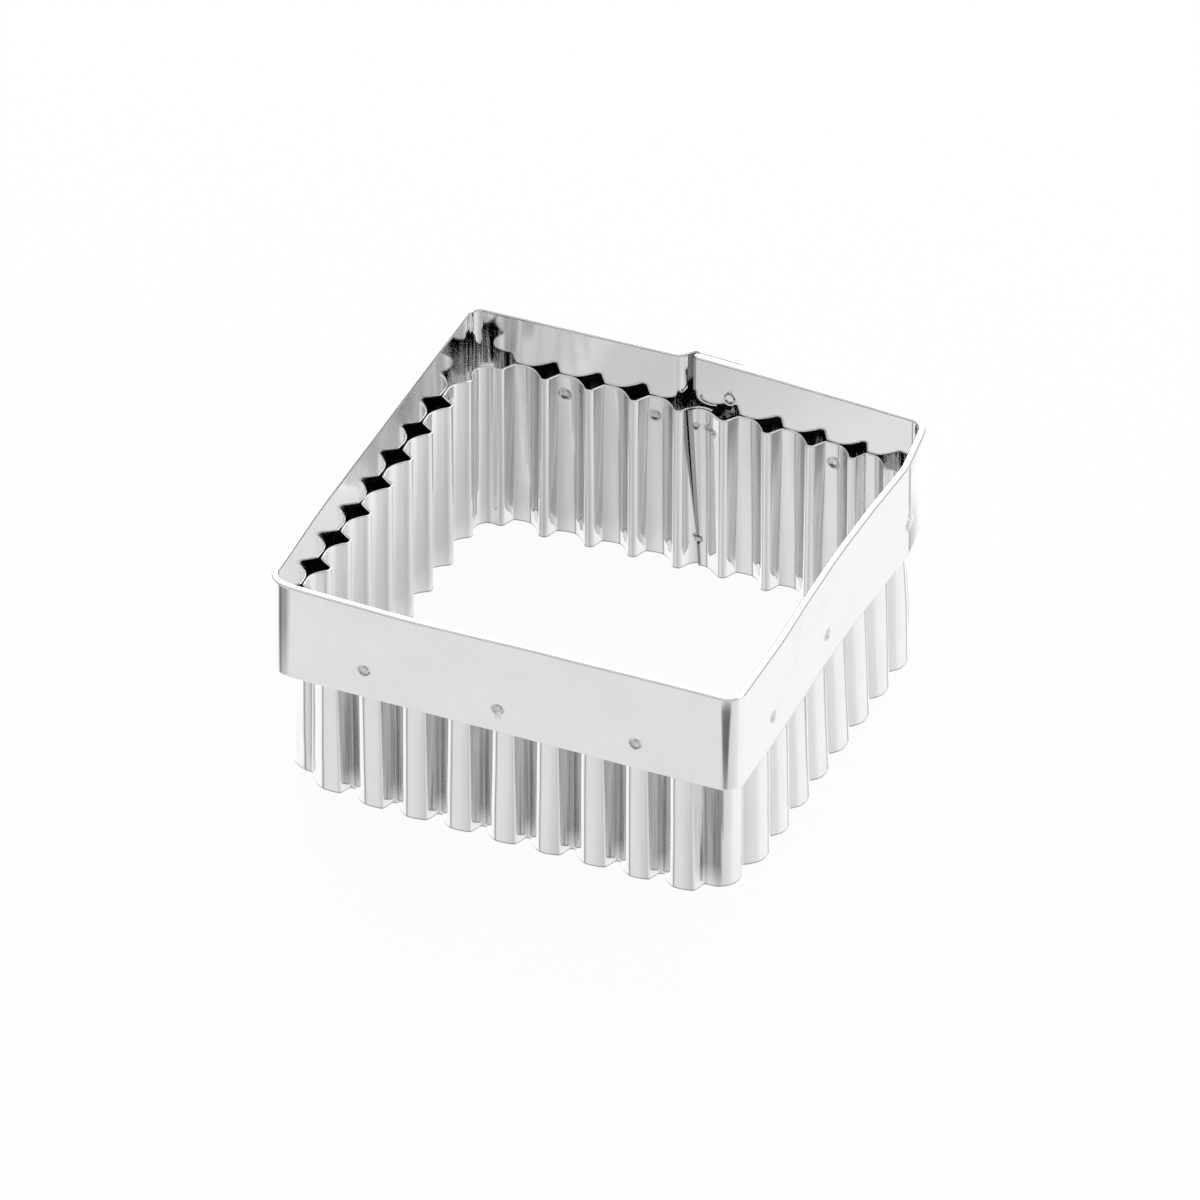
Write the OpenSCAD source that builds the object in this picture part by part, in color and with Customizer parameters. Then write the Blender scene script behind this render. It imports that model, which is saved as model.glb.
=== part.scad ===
// Square fluted biscuit cutter. A plain steel band stiffens a crinkled cutting strip, and spot welds join the two.
// The cutting edge stands on z = 0, the z axis runs through the middle of the footprint, and both strips close on the
// back (+Y) side. The working lines below are drawn round the middle of the square, and centred() then places them.

/* [Band] */
// Width of the square over the outside of the band
band_side = 65; // [45:1:100]
// Height of the band
band_height = 14; // [9:0.5:20]
// Thickness of the band's sheet
band_sheet = 1; // [0.6:0.1:1.2]
// Outside radius of the band's four corners
band_corner_r = 2.6; // [2:0.1:5]
// How far the right part of the back wall is bent outwards where the band closes
seam_bow = 1.5; // [0:0.1:3]
// How far its left part is bent outwards there
left_bow = 0.9; // [0:0.1:2]
// Place of the band's inner end along the back wall, from the middle
seam_place = -1.8; // [-4:0.1:2]
// How far the outer end of the band lies past the inner one
seam_overlap = 6.2; // [4.5:0.1:8]
// Length of the step by which the band climbs over its inner end
seam_step = 1.5; // [1.2:0.1:3]
// Gap between the two layers of the band at the overlap
seam_gap = 0.06; // [0.02:0.01:0.2]

/* [Cutting strip] */
// Height of the cutting strip
strip_height = 24.5; // [15:0.5:45]
// How far the band stands up above the cutting strip
rim_rise = 7; // [4:0.5:9]
// Thickness of the cutting strip's sheet
strip_sheet = 0.3; // [0.2:0.05:0.6]
// Flutes along the front and the back, brought to the nearest odd number
flutes_wide = 9; // [7:2:13]
// Flutes along the left and the right
flutes_deep = 8; // [6:1:12]
// Depth of a flute over both faces of the sheet
flute_depth = 2.2; // [1.8:0.05:2.6]
// Inside radius of the tight bends between two flutes
bend_r = 0.55; // [0.3:0.05:0.7]
// How far round the flute on each corner goes, in degrees
corner_turn = 142; // [125:1:160]
// Clearance between the flutes and the inside of the band
flute_clearance = 0.1; // [0.05:0.01:0.2]
// Distance from the corners to the first tight bends of the front and the back
corner_run_wide = 2; // [1.5:0.1:4]
// Distance from the corners to the first tight bends of the left and the right, as a mean of both ends
corner_run_deep = 4.05; // [3:0.05:5]
// How far the left and right rows of flutes lie towards the back
row_shift = 0.95; // [0:0.05:1.2]
// Gap between the two layers of the strip at its own seam
lap_gap = 0.2; // [0.02:0.01:0.3]
// How far round the seam flute the inner layer reaches, in degrees past the crest
lap_turn = 40; // [30:1:50]
// Straight length at the end of the outer layer
lap_tail = 1.1; // [0.4:0.1:1.2]

/* [Spot welds] */
// Diameter of the welds that hold the band to the flutes
weld_d = 1.4; // [1:0.1:1.8]
// Distance of those welds, and of the upper welds of the strip's seam, from the strip's top edge
weld_inset = 2.5; // [1.5:0.1:4]
// Distance of the upper weld of the band's seam from the band's top edge
band_weld_inset = 5; // [2:0.1:7]
// Distance between the two welds of the band's seam
band_weld_spacing = 5.2; // [2:0.1:6]
// Distance of the welds of the band's seam from the end of the outer layer
band_weld_margin = 1.2; // [1:0.1:2]
// Diameter of the welds that close the cutting strip
lap_weld_d = 0.8; // [0.6:0.05:1]
// Height of the lowest of those welds above the cutting edge
low_weld_height = 4.2; // [2:0.1:8]
// Depth of the dimple that the electrode leaves in the outside of the band
dimple = 0.12; // [0.05:0.01:0.2]
// Clearance drawn round each weld
weld_fit = 0.02; // [0.01:0.01:0.04]

/* [Hidden] */
$fn = 48;
past = 1;

// Steps in which the bends are drawn
corner_steps = 8;
step_bend_steps = 4;
flute_steps = 12;
bend_steps = 6;
// Middle radius of the two bends in the band's step, and how far before the inner end the step is over
step_bend_r = 1.1;
step_ease = 0.5;

cutter_height = strip_height + rim_rise;
band_low = cutter_height - band_height;
weld_height = strip_height - weld_inset;
// Half widths of the square: over the band's middle line, inside the band, and over the tips of the tight bends
band_half = (band_side - band_sheet) / 2;
inside_half = band_side / 2 - band_sheet;
crest_half = inside_half - flute_clearance;
tip_half = crest_half - flute_depth;
// Middle radius of the tight bends, and the line that their centres lie on
bend_mid = bend_r + strip_sheet / 2;
bend_line = tip_half + bend_r + strip_sheet;
// Distance from the middle of a side to its first tight bend
first_wide = tip_half - corner_run_wide;
first_deep = tip_half - corner_run_deep;
wide_count = 2 * round((flutes_wide - 1) / 2) + 1;
deep_count = round(flutes_deep);
pitch_wide = 2 * first_wide / wide_count;
pitch_deep = 2 * first_deep / deep_count;

// The middle radius at which a flute just touches the two bends beside it
function flute_mid(pitch) =
    let (rise = flute_depth - strip_sheet)
    (pitch * pitch / 4 + (rise - bend_mid) * (rise - bend_mid) - bend_mid * bend_mid) / (2 * rise);
mid_wide = flute_mid(pitch_wide);
mid_deep = flute_mid(pitch_deep);

// The end of the back wall's left part, where it starts to step over the band's inner end
left_end = [seam_place - seam_step - step_ease, band_half + left_bow];
// How far the bent back wall stands out at a place along it
function bow(x) = x < seam_place ?
    left_bow * (x + band_half) / (left_end.x + band_half) :
    seam_bow * (band_half - x) / (band_half - seam_place);

function unit(v) = v / norm(v);
function angle(v) = atan2(v.y, v.x);
function wrap(a) = a - 360 * round(a / 360);
// The outward side of a sheet that runs clockwise with this heading
function side(h) = [-sin(h), cos(h)];

// A line of samples [place, outward side] is the middle of a bent sheet.
// An arc of it turns from one heading to another round a centre, which lies inside for hand 1 and outside for -1.
function arc(centre, r, hand, from, to, steps) =
    [for (k = [0:steps]) let (n = side(from + (to - from) * k / steps)) [centre + hand * r * n, n]];

// The outline of a sheet of this thickness along a line of samples
function sheet_outline(line, sheet) = concat(
    [for (s = line) s[0] + s[1] * sheet / 2],
    [for (k = [len(line) - 1:-1:0]) line[k][0] - line[k][1] * sheet / 2]);

// A line through corners, each rounded to its own radius
function rounded(corners, radii, steps) =
    let (last = len(corners) - 1)
    concat(
        [[corners[0], side(angle(corners[1] - corners[0]))]],
        [for (i = [1:last - 1])
            let (
                into = unit(corners[i] - corners[i - 1]),
                out = unit(corners[i + 1] - corners[i]),
                h = angle(into),
                turn = wrap(angle(out) - h),
                hand = turn < 0 ? 1 : -1,
                start = corners[i] - into * radii[i - 1] * tan(abs(turn) / 2))
            each arc(start - hand * radii[i - 1] * side(h), radii[i - 1], hand, h, h + turn, steps[i - 1])],
        [[corners[last], side(angle(corners[last] - corners[last - 1]))]]);

// The band: it starts at its inner end, runs clockwise round the square and steps over that end
seam_corner = [seam_place, band_half + seam_bow];
back_left = unit(left_end - [-band_half, band_half]);
back_right = unit([band_half, band_half] - seam_corner);
lap_shift = (band_sheet + seam_gap) * [-back_right.y, back_right.x];
step_end = seam_corner + lap_shift - step_ease * back_right;
band_line = rounded(
    [
        seam_corner,
        [band_half, band_half],
        [band_half, -band_half],
        [-band_half, -band_half],
        [-band_half, band_half],
        left_end,
        step_end,
        seam_corner + lap_shift + seam_overlap * back_right
    ],
    [for (i = [0:5]) i < 4 ? band_corner_r - band_sheet / 2 : step_bend_r],
    [for (i = [0:5]) i < 4 ? corner_steps : step_bend_steps]);

// The overlap stands out at the back, so the middle of the footprint lies this far behind the middle of the square
footprint_shift = (max([for (s = band_line) s[0].y + s[1].y * band_sheet / 2]) - band_side / 2) / 2;

module centred() {
    translate([0, -footprint_shift, 0]) children();
}

// The tight bends' centres, clockwise from the one to the right of the seam flute
half_back = (wide_count + 1) / 2;
back_bends = [for (i = [0:wide_count]) let (x = -first_wide + i * pitch_wide) [x, bend_line + bow(x)]];
bends = concat(
    [for (i = [half_back:wide_count]) back_bends[i]],
    [for (i = [0:deep_count]) [bend_line, row_shift + first_deep - i * pitch_deep]],
    [for (i = [0:wide_count]) [first_wide - i * pitch_wide, -bend_line]],
    [for (i = [0:deep_count]) [-bend_line, row_shift - first_deep + i * pitch_deep]],
    [for (i = [0:half_back - 1]) back_bends[i]]);
count = len(bends);

// The middle radius of the flute after each bend, which depends on the side or the corner that it is on
runs = [half_back - 1, deep_count, wide_count, deep_count, half_back - 1];
corners_at = [for (i = 0, n = runs[0]; i < 4; i = i + 1, n = n + 1 + (i < 5 ? runs[i] : 0)) n];
function is_corner(i) = len([for (c = corners_at) if (c == i) 1]) > 0;
function is_wide(i) = i < corners_at[0] || i > corners_at[3] || (i > corners_at[1] && i < corners_at[2]);
function mid_after(i) =
    is_corner(i) ? norm(bends[i + 1] - bends[i]) / 2 / sin(corner_turn / 2) - bend_mid :
    is_wide(i) ? mid_wide :
    mid_deep;

// The centre of a flute that touches two bends, on the inner side of the line between them
function flute_centre(a, b, mid) =
    let (d = b - a, reach = mid + bend_mid, rise = sqrt(max(0, reach * reach - norm(d) * norm(d) / 4)))
    (a + b) / 2 + rise * [d.y, -d.x] / norm(d);
flutes = [for (i = [0:count - 1]) flute_centre(bends[i], bends[(i + 1) % count], mid_after(i))];
seam_flute = flutes[count - 1];

// At its seam the strip's inner layer lies inside the flute and leaves it on a straight line to the first bend
inner_mid = mid_wide - strip_sheet - lap_gap;
to_first = bends[0] - seam_flute;
lap_lean = acos((inner_mid + bend_mid) / norm(to_first));
lap_heading = angle(to_first) + lap_lean - 90;
crest_heading = 0;
tail_line = arc(seam_flute, mid_wide, 1, lap_heading, lap_heading, 1)[0];

strip_line = concat(
    arc(seam_flute, inner_mid, 1, crest_heading + lap_turn, lap_heading, flute_steps),
    [for (i = [0:count - 1])
        let (
            before = i == 0 ? lap_heading : angle(bends[i] - flutes[i - 1]) - 90,
            turn = wrap(angle(bends[i] - flutes[i]) - 90 - before),
            next = angle(bends[i] - flutes[i]) - 90,
            leave = i == count - 1 ? lap_heading : angle(bends[i + 1] - flutes[i]) - 90)
        each concat(
            arc(bends[i], bend_mid, -1, before, before + turn, bend_steps),
            arc(flutes[i], mid_after(i), 1, next, next + wrap(leave - next), flute_steps))],
    [[tail_line[0] + lap_tail * [cos(lap_heading), sin(lap_heading)], tail_line[1]]]);

// Crests that are welded to the band: each is the flute after a bend, counted within its side from that side's first bend
weld_back_right = corners_at[0] - 2;
weld_crests = concat(
    [weld_back_right],
    [for (k = [0, floor(deep_count / 2), deep_count - 1]) corners_at[0] + 1 + k],
    [for (k = [1, (wide_count - 1) / 2, wide_count - 2]) corners_at[1] + 1 + k],
    [for (k = [0, floor(deep_count / 2), deep_count - 1]) corners_at[2] + 1 + k],
    [for (k = [1, (wide_count - 1) / 2 - 1]) corners_at[3] + 1 + k]);

// The outward direction of the wall that a flute lies on
function wall_side(i) =
    i < corners_at[0] ? [-back_right.y, back_right.x] :
    i < corners_at[1] ? [1, 0] :
    i < corners_at[2] ? [0, -1] :
    i < corners_at[3] ? [-1, 0] :
    [-back_left.y, back_left.x];

// A rod that starts at a place, at a height, and runs level along a direction. The inner turn keeps the line where the
// rod's surface closes away from the upright edges of the flutes that it passes through.
module level_rod(place, height, direction, d, length) {
    translate([place.x, place.y, height])
        rotate([0, 0, angle(direction)])
            rotate([0, 90, 0])
                rotate([0, 0, 90])
                    cylinder(d = d, h = length);
}

// A side weld runs from the inner face of its crest to the bottom of the dimple in the band.
// from_inside moves its inner end, and to_outside its outer one.
module side_weld(i, d, from_inside, to_outside) {
    n = wall_side(i);
    inner = mid_after(i) - strip_sheet / 2 - from_inside;
    // Where the ray from the flute's centre meets the outer face of the wall
    face = wall_distance(i) + band_sheet / 2 + to_outside;
    level_rod(flutes[i] + inner * n, weld_height, n, d, face - inner);
}

// Distance from a flute's centre to the middle of the band's wall, along the wall's outward direction
function wall_distance(i) =
    i < corners_at[0] ? (seam_corner - flutes[i]) * wall_side(i) :
    i > corners_at[3] ? (left_end - flutes[i]) * wall_side(i) :
    band_half - flutes[i] * wall_side(i);

module side_weld_set(d, from_inside, to_outside) {
    for (i = weld_crests) side_weld(i, d, from_inside, to_outside);
}

// The welds through both layers of the band
band_weld_place = seam_corner + (seam_overlap - band_weld_margin) * back_right;
band_weld_heights = [for (k = [0:1]) cutter_height - band_weld_inset - k * band_weld_spacing];
module band_weld_set(d, inner, outer) {
    n = [-back_right.y, back_right.x];
    low = -band_sheet / 2 - inner;
    high = band_sheet * 1.5 + seam_gap + outer;
    for (z = band_weld_heights) level_rod(band_weld_place + low * n, z, n, d, high - low);
}

// The welds through both layers of the cutting strip: two near the top and one near the cutting edge
// Each has its height and the heading of the strip where it sits.
lap_welds = [[weld_height, 26], [weld_height, -16], [low_weld_height, 22]];
module lap_weld_set(d, inner, outer) {
    low = inner_mid - strip_sheet / 2 - inner;
    high = mid_wide + strip_sheet / 2 + outer;
    for (w = lap_welds) level_rod(seam_flute + low * side(w[1]), w[0], side(w[1]), d, high - low);
}

module rim_band() {
    color("#dfe1e3")
        centred() difference() {
            translate([0, 0, band_low])
                linear_extrude(band_height)
                    polygon(sheet_outline(band_line, band_sheet));
            side_weld_set(weld_d + 2 * weld_fit, 0, past);
            band_weld_set(weld_d + 2 * weld_fit, past, past);
        }
}

module cutting_strip() {
    color("#d3d6d8")
        centred() difference() {
            linear_extrude(strip_height)
                polygon(sheet_outline(strip_line, strip_sheet));
            side_weld_set(weld_d + 2 * weld_fit, past, 0);
            lap_weld_set(lap_weld_d + 2 * weld_fit, past, past);
        }
}

module side_welds() {
    color("#b9bcc0")
        centred() side_weld_set(weld_d, 0, -dimple);
}

module band_seam_welds() {
    color("#b9bcc0")
        centred() band_weld_set(weld_d, -dimple, -dimple);
}

module strip_seam_welds() {
    color("#b9bcc0")
        centred() lap_weld_set(lap_weld_d, 0, 0);
}

rim_band();
cutting_strip();
side_welds();
band_seam_welds();
strip_seam_welds();
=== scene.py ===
"""Looks of a square fluted biscuit cutter of polished sheet steel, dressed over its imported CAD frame.

Every sheet is a closed section carried along a line of tangent arcs. All sizes are in metres, in the CAD's own frame.
"""
import math

import bpy
import numpy as np
from bpy.props import FloatProperty, FloatVectorProperty, IntProperty, PointerProperty
from mathutils import Matrix, Vector


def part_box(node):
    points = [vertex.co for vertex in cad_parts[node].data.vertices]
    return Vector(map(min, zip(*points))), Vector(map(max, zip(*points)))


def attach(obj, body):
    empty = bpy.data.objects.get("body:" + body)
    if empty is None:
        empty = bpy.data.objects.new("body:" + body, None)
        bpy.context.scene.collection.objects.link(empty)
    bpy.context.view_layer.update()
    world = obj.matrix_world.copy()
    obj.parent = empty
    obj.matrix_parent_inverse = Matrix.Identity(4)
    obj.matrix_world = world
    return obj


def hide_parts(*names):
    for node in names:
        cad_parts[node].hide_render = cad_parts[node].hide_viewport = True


bl_info = {
    "name": "Square Fluted Biscuit Cutter",
    "version": (1, 0, 0),
    "blender": (4, 5, 0),
    "location": "3D View > Sidebar > Biscuit Cutter",
    "description": "Builds the bent steel sheets, spot welds and studio of a square fluted biscuit cutter",
    "category": "Add Mesh",
}

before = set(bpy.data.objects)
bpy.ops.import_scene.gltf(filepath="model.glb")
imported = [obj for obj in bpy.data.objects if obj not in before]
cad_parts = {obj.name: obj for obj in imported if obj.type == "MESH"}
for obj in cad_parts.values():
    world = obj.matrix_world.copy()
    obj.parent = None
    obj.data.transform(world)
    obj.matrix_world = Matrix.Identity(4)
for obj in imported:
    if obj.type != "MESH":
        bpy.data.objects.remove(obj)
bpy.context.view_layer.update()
BAND_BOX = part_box("rim_band")
STRIP_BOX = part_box("cutting_strip")
BODY = "root"

# Attributes that the materials read: the place on the flat sheet, and the painted shade on the sheet together with the
# welds' burnt rings
PLACE = "sheet_place"
SHADE_AND_BURN = "sheet_shade_and_burn"

# How far a face's pattern lies from the sheet's middle, and the angle from which an edge is shaded sharp
FACES_APART = 0.01
SHARP = math.radians(50)

# Steps along each corner of the band, each flute and each tight bend between two flutes
CORNER_STEPS = 48
FLUTE_STEPS = 30
BEND_STEPS = 6

# Spacing of grid lines: the coarse and the fine one, and how far the fine one reaches from a weld or a bend
WELD_COLUMNS = (1.1e-3, 1.3e-4, 9.5e-4)
BEND_COLUMNS = (1.1e-3, 2.2e-4, 2.4e-3)
BAND_ROWS = (1.6e-3, 1.4e-4, 8.5e-4)
STRIP_ROWS = (3.4e-3, 3.2e-4, 9.5e-4)

# How far the columns of a bend reach, the least distances of columns and rows, and the last row's from an edge
BEND_REACH = 2.6e-3
LEAST_COLUMN = 6e-5
LEAST_ROW = 1e-4
EDGE_ROW = 1.5e-4

# Seeds of the random draws: the waviness of both sheets, and the strays of the flutes
BAND_SEED, STRIP_SEED, STRAY_SEED = 11, 23, 5

# A flute's shares of length and of turn: its shoulder at the top edge and at the foot, and its trailing side
HIGH_SHOULDER = ((0.262, 0.07), (0.288, 0.445))
FOOT_SHOULDER = ((0.15, 0.08), (0.2, 0.42))
FLUTE_TRAIL = ((0.51, 0.5), (0.68, 0.722), (0.8, 0.83), (0.966, 0.875), (1, 1))

# How far each side weld strays to the right, seen from outside, and down, clockwise from the one right of the seam
WELD_STRAYS = np.array([
    (0.0003, 0.0004), (-0.0007, -0.0004), (-0.0004, 0), (0, 0), (0.0005, 0.00065), (0, 0.0009), (0, 0.0002), (0, 0),
    (0, 0.0003), (0, -0.0002), (0.0007, 0.0003), (0.0006, 0.0003)])

# Welds of the strip's seam: headings on the seam flute, sizes of the dishes, and size of the nuggets
SEAM_HEADINGS = np.radians([26.0, -16.0, 22.0])
SEAM_SIZES = (0.6, 0.6, 0.9)
SEAM_NUGGET = 0.75

# How much deeper the strip's inside is pressed, how far along its axis a weld presses, and how proud a nugget stands
INNER_PRESS = 1.4
PRESS_REACH = 0.0011
PROUD = 0.00002

# Leans of the sides: middle and reach, which differs before and behind on the right. Dip of the front's top edge:
# middle, reach and depth, and how far that edge leans back on the right. Turns of the walls before the wide corners:
# start, length and slope.
RIGHT_LEAN = (0.004, 0.028, 0.027)
LEFT_LEAN = (-0.0325, 0.022)
TOP_DIP = (-0.013, 0.020, 0.00035)
TOP_BACK = 0.0003
BACK_TURN = (0.0209, 0.0022, 0.17)
FRONT_TURN = (0.0285, 0.0005, 0.176)

# How much of the strip lies in the seam's inner layer, and X and Y of the strip's front left corner
SEAM_REACH = 0.004
FOOT_CORNER = -0.0290

# Tones that the steel mirrors: below the horizon, by degrees from the front towards the right; the top of that scale;
# and round the horizon
ROOM_TONES = (
    (-180, 1.15), (-100, 1.18), (-66, 1.15), (-61, 0.9), (-58, 0.4), (-52, 0.4), (-47, 0.8), (-35, 0.9), (-14, 0.88),
    (0, 0.76), (12, 0.66), (24, 0.66), (38, 0.78), (60, 0.86), (78, 0.92), (90, 1.06), (110, 1.1), (150, 1.1),
    (164, 1.08), (167, 0.5), (171, 0.5), (173, 1.15))
TOP_TONE = 1.2
HORIZON_TONE = 0.36

# Painted dark patches on the floor, which only the steel's mirror sees: corner, bearing, half spread near and far in
# degrees, and where the end starts and stops
RIGHT_PATCH = ((0.0308, 0.0336), 15, (3, 26), (0.0436, 0.0449))
LEFT_PATCH = ((-0.0308, 0.0336), -49, (11, 11), (0.05, 0.06))
LEFT_SHARE = 0.7
FLOOR_HALF = 4.0


def distance(name, description, default, **limits):
    """A length property in metres."""
    return FloatProperty(
        name=name, description=description, default=default, subtype="DISTANCE", unit="LENGTH", precision=6, **limits)


def turn(name, description, degrees):
    """An angle property, given in degrees."""
    return FloatProperty(
        name=name, description=description, default=math.radians(degrees), subtype="ANGLE", unit="ROTATION")


def colour(name, description, default):
    """A colour property."""
    return FloatVectorProperty(
        name=name, description=description, default=default, subtype="COLOR", size=3, min=0, max=1)


def share(name, description, default):
    """A number from 0 to 1."""
    return FloatProperty(name=name, description=description, default=default, min=0, max=1, subtype="FACTOR")


class BandSettings(bpy.types.PropertyGroup):
    sheet: distance("Sheet", "Thickness of the band's sheet", 0.001)
    corner: distance("Corner radius", "Outside radius of the four corners", 0.0026)
    bow: distance("Right bow", "How far the right part of the back wall is bent outwards at the seam", 0.0015)
    left_bow: distance("Left bow", "How far its left part is bent outwards there", 0.0009)
    seam_place: distance("Seam place", "Place of the inner end along the back wall", -0.0018)
    lean: distance("Right lean", "How far the right side is bent inwards near its middle", 0.00072)
    lean_left: distance("Left lean", "How far the left side is bent inwards at its front corner", 0.0005)
    wide_front: share("Wide front corner", "How much the front wall is bent back before the left corner", 1.0)
    wide_back: share("Wide back corner", "How much the right wall is bent in before the back corner", 1.0)
    overlap: distance("Overlap", "How far the outer end lies past the inner one", 0.0062)
    step: distance("Step", "Length of the step over the inner end", 0.0015)
    gap: distance("Layer gap", "Gap between the two layers at the overlap", 0.00006)
    step_radius: distance("Step radius", "Middle radius of the bends in the step", 0.0011)
    step_ease: distance("Step ease", "How far before the inner end the step is over", 0.0005)
    edge: distance("Edge radius", "Rounding of the cut edges", 0.00028)
    wave: distance("Waviness", "How far the sheet strays from flat", 0.00002)
    colour: colour("Steel", "Colour of the band's bright sheet", (0.84, 0.84, 0.84))
    roughness: share("Roughness", "Roughness of the band's bright sheet", 0.07)


class StripSettings(bpy.types.PropertyGroup):
    sheet: distance("Sheet", "Thickness of the cutting strip's sheet", 0.0003)
    flutes_wide: IntProperty(name="Flutes across", description="Flutes along the front and back", default=9)
    flutes_deep: IntProperty(name="Flutes deep", description="Flutes along the left and right", default=8)
    depth: distance("Flute depth", "Depth of a flute over both faces", 0.0022)
    bend: distance("Bend radius", "Inside radius of the tight bends", 0.00055)
    corner_turn: turn("Corner turn", "How far round the flute on each corner goes", 142)
    clearance: distance("Clearance", "Clearance between the flutes and the band", 0.0001)
    run_wide: distance("Run across", "Distance from the corners to the first bends, front and back", 0.002)
    run_deep: distance("Run deep", "Distance from the corners to the first bends, left and right", 0.00405)
    row_shift: distance("Row shift", "How far the left and right rows lie towards the back", 0.00095)
    lap_gap: distance("Lap gap", "Gap between the two layers at the seam", 0.0002)
    lap_top: turn("Lap at the top", "How far round the inner layer reaches at the top edge", 55)
    lap_foot: turn("Lap at the foot", "How far round the inner layer reaches at the cutting edge", 20)
    lap_short: turn("Lap short", "How far the outer layer ends before the next bend", 9)
    lap_tail: distance("Lap tail", "Straight length at the end of the outer layer", 0.00015)
    spread: distance("Foot spread", "How much deeper the flutes are at the foot", 0.00025)
    tuck: distance("Tuck", "How far the foot of the front left corner is pressed in", 0.002)
    stray: distance("Stray", "How far the bends stray from their even pitch", 0.00007)
    edge: distance("Edge radius", "Rounding of the cut edges", 0.00008)
    wave: distance("Waviness", "How far the sheet strays from its arcs", 0.00002)
    colour: colour("Steel", "Colour of the bright drawn strip", (0.82, 0.82, 0.82))
    roughness: share("Roughness", "Roughness of the bright drawn strip", 0.08)


class WeldSettings(bpy.types.PropertyGroup):
    nugget: distance("Nugget", "Radius of the nuggets that join band and strip", 0.00046)
    dish: distance("Dish", "Radius of the dish that the electrode leaves", 0.00086)
    press: distance("Press", "Depth of that dish", 0.00015)
    burn: share("Burn", "Darkness of the ring of burnt metal round each nugget", 0.55)
    inset: distance("Inset", "Distance of the welds from the strip's top edge", 0.0025)
    band_inset: distance("Seam inset", "Distance of the band seam's upper weld from the top edge", 0.005)
    band_spacing: distance("Seam spacing", "Distance between the welds of the band's seam", 0.0052)
    band_margin: distance("Seam margin", "Distance of those welds from the end of the outer layer", 0.0012)
    lap_low: distance("Low weld", "Height of the lowest weld of the strip's seam", 0.0042)
    colour: colour("Weld", "Colour of the dull nuggets", (0.66, 0.66, 0.67))
    roughness: share("Roughness", "Roughness of the nuggets", 0.24)


class StageSettings(bpy.types.PropertyGroup):
    azimuth: turn("Azimuth", "Camera's turn round the cutter from the front towards the right", 23.4971)
    elevation: turn("Elevation", "Camera's height above the horizon", 36.2727)
    roll: turn("Roll", "Camera's turn about its own axis", 0.1589)
    away: distance("Distance", "Distance of the camera", 3.39697)
    aside: distance("Aside", "Camera's sideways move", -0.0002015)
    above: distance("Above", "Camera's upward move across its view", 0.0130455)
    lens: FloatProperty(name="Lens", description="Focal length", default=811.97, unit="CAMERA")
    floor: colour("Floor", "Colour of the floor", (0.86, 0.86, 0.86))
    white: share("Whitening", "Share of plain white in the floor that the camera sees", 0.95)
    ambient: FloatProperty(name="Ambient", description="Strength of the plain surroundings", default=0.62)
    inside: share("Inside", "Tone of the floor's left part inside the cutter against the floor round it", 0.78)
    patch: share("Patch", "Tone of the patches before the front corners against the floor round them", 0.25)
    above_tone: FloatProperty(name="Tone above", description="Tone that the steel mirrors from above", default=0.78)
    key: FloatProperty(name="Key", description="Power of the high soft light behind", default=6, unit="POWER")
    side: FloatProperty(name="Side", description="Power of the soft light on the right", default=1.5, unit="POWER")


class CutterSettings(bpy.types.PropertyGroup):
    band: PointerProperty(type=BandSettings)
    strip: PointerProperty(type=StripSettings)
    weld: PointerProperty(type=WeldSettings)
    stage: PointerProperty(type=StageSettings)


# ---------------------------------------------------------------- lines

def side_of(heading):
    """The outward side of a sheet that runs clockwise: its heading turned a quarter to the left."""
    return np.stack([-np.sin(heading), np.cos(heading)], axis=-1)


def left_of(vector):
    """The vector turned a quarter to the left."""
    return np.stack([-vector[..., 1], vector[..., 0]], axis=-1)


def heading_of(vector):
    """The angle of a vector from +X."""
    return np.arctan2(vector[..., 1], vector[..., 0])


def wrapped(angle):
    """The same angle between minus and plus half a turn."""
    return angle - 2 * np.pi * np.round(angle / (2 * np.pi))


def unit(vector):
    """The vector divided by its length."""
    return vector / np.linalg.norm(vector, axis=-1, keepdims=True)


def arcs(centres, radii, hands, starts, turns, steps, open_arcs):
    """Points and outward sides along a chain of tangent arcs.

    A point is centre + hand * radius * side, where side is side_of(start + share * turn) and share runs from 0 to 1.
    The first point of an arc is left out where the arc before it already ends there, which is so past open_arcs.
    """
    counts = np.asarray(steps) + 1
    owner = np.repeat(np.arange(len(counts)), counts)
    part = (np.arange(counts.sum()) - np.repeat(np.cumsum(counts) - counts, counts)) / np.asarray(steps)[owner]
    keep = (part > 0) | (owner <= open_arcs)
    owner, part = owner[keep], part[keep]
    sides = side_of(starts[owner] + part * turns[owner])
    return centres[owner] + (hands * radii)[owner, None] * sides, sides


def smooth(t):
    """The smooth step 3 t^2 - 2 t^3 of t between 0 and 1."""
    t = np.clip(t, 0, 1)
    return t * t * (3 - 2 * t)


def half_widths(band, strip):
    """Half widths of the square over the band's middle line, inside the band, and over the line of bend centres."""
    outer = BAND_BOX[1][0]
    inside = outer - band.sheet
    bend_line = inside - strip.clearance - strip.depth + strip.bend + strip.sheet
    return outer - band.sheet / 2, inside, bend_line


def seam_frame(band):
    """The band's inner end, the end of the back wall's left part, and the headings of its left and right parts."""
    half = BAND_BOX[1][0] - band.sheet / 2
    seam = np.array([band.seam_place, half + band.bow])
    left_end = np.array([band.seam_place - band.step - band.step_ease, half + band.left_bow])
    return seam, left_end, unit(left_end - [-half, half]), unit([half, half] - seam)


def bow(x, band):
    """How far the back wall stands out at x: a straight rise to the seam, and a straight fall from a higher place."""
    half = BAND_BOX[1][0] - band.sheet / 2
    left_end = seam_frame(band)[1]
    return np.where(
        x < band.seam_place,
        band.left_bow * (x + half) / (left_end[0] + half),
        band.bow * (half - x) / (half - band.seam_place))


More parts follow.
